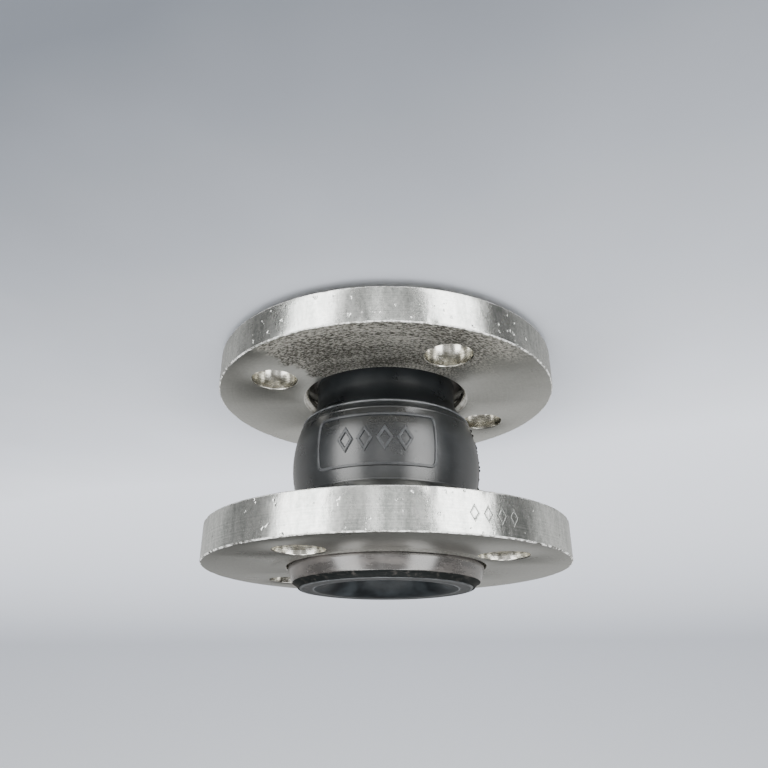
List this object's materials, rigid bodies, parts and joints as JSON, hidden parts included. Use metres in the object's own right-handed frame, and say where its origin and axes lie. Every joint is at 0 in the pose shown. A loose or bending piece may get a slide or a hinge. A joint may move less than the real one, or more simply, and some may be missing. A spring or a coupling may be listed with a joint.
{
  "type": "rubber expansion joint",
  "caption": "Single-arch flexible rubber pipe joint with a bead at each end and loose, drilled steel flanges that swivel on it.",
  "frame": {"origin": "centre of the lower sealing face, on the pipe axis", "axes": "+Z along the pipe axis to the upper sealing face, -Y towards the moulded name panel on the arch"},
  "size_m": [0.14, 0.14, 0.095],
  "materials": {
    "cover_rubber": "satin black moulded cover rubber",
    "tube_rubber": "matt dark grey inner rubber",
    "cord_ply": "rubberised nylon tyre cord",
    "bead_wire": "wound bead wire",
    "zinc_plate": "turned steel with bright zinc plating"
  },
  "bodies": {
    "lower_end": {"cover_lower_end": "cover_rubber", "outer_ply_lower_end": "cord_ply", "inner_ply_lower_end": "cord_ply", "inner_tube_lower_end": "tube_rubber", "lower_bead_ring": "bead_wire"},
    "lower_arch": {"cover_lower_arch": "cover_rubber", "outer_ply_lower_arch": "cord_ply", "inner_ply_lower_arch": "cord_ply", "inner_tube_lower_arch": "tube_rubber"},
    "upper_arch": {"cover_upper_arch": "cover_rubber", "outer_ply_upper_arch": "cord_ply", "inner_ply_upper_arch": "cord_ply", "inner_tube_upper_arch": "tube_rubber"},
    "upper_end": {"cover_upper_end": "cover_rubber", "outer_ply_upper_end": "cord_ply", "inner_ply_upper_end": "cord_ply", "inner_tube_upper_end": "tube_rubber", "upper_bead_ring": "bead_wire"},
    "lower_flange": {"lower_flange": "zinc_plate"},
    "upper_flange": {"upper_flange": "zinc_plate"}
  },
  "joints": [
    {"name": "lower_bend", "type": "hinge", "parent": "lower_end", "child": "lower_arch", "pos_m": [0, 0, 0.025], "axis": [1, 0, 0], "range_deg": [-7.5, 7.5], "stiffness_Nm_per_rad": 60, "deforming": ["cover_lower_arch", "outer_ply_lower_arch", "inner_ply_lower_arch", "inner_tube_lower_arch"]},
    {"name": "arch_stroke", "type": "slide", "parent": "lower_arch", "child": "upper_arch", "axis": [0, 0, 1], "range_m": [-0.009, 0.006], "stiffness_N_per_m": 50000, "deforming": ["cover_upper_arch", "outer_ply_upper_arch", "inner_ply_upper_arch", "inner_tube_upper_arch"]},
    {"name": "upper_bend", "type": "hinge", "parent": "upper_arch", "child": "upper_end", "pos_m": [0, 0, 0.07], "axis": [1, 0, 0], "range_deg": [-7.5, 7.5], "stiffness_Nm_per_rad": 60},
    {"name": "lower_flange_swivel", "type": "hinge", "parent": "lower_end", "child": "lower_flange", "pos_m": [0, 0, 0.0104], "axis": [0, 0, 1], "continuous": true},
    {"name": "upper_flange_swivel", "type": "hinge", "parent": "upper_end", "child": "upper_flange", "pos_m": [0, 0, 0.0803], "axis": [0, 0, 1], "continuous": true}
  ]
}
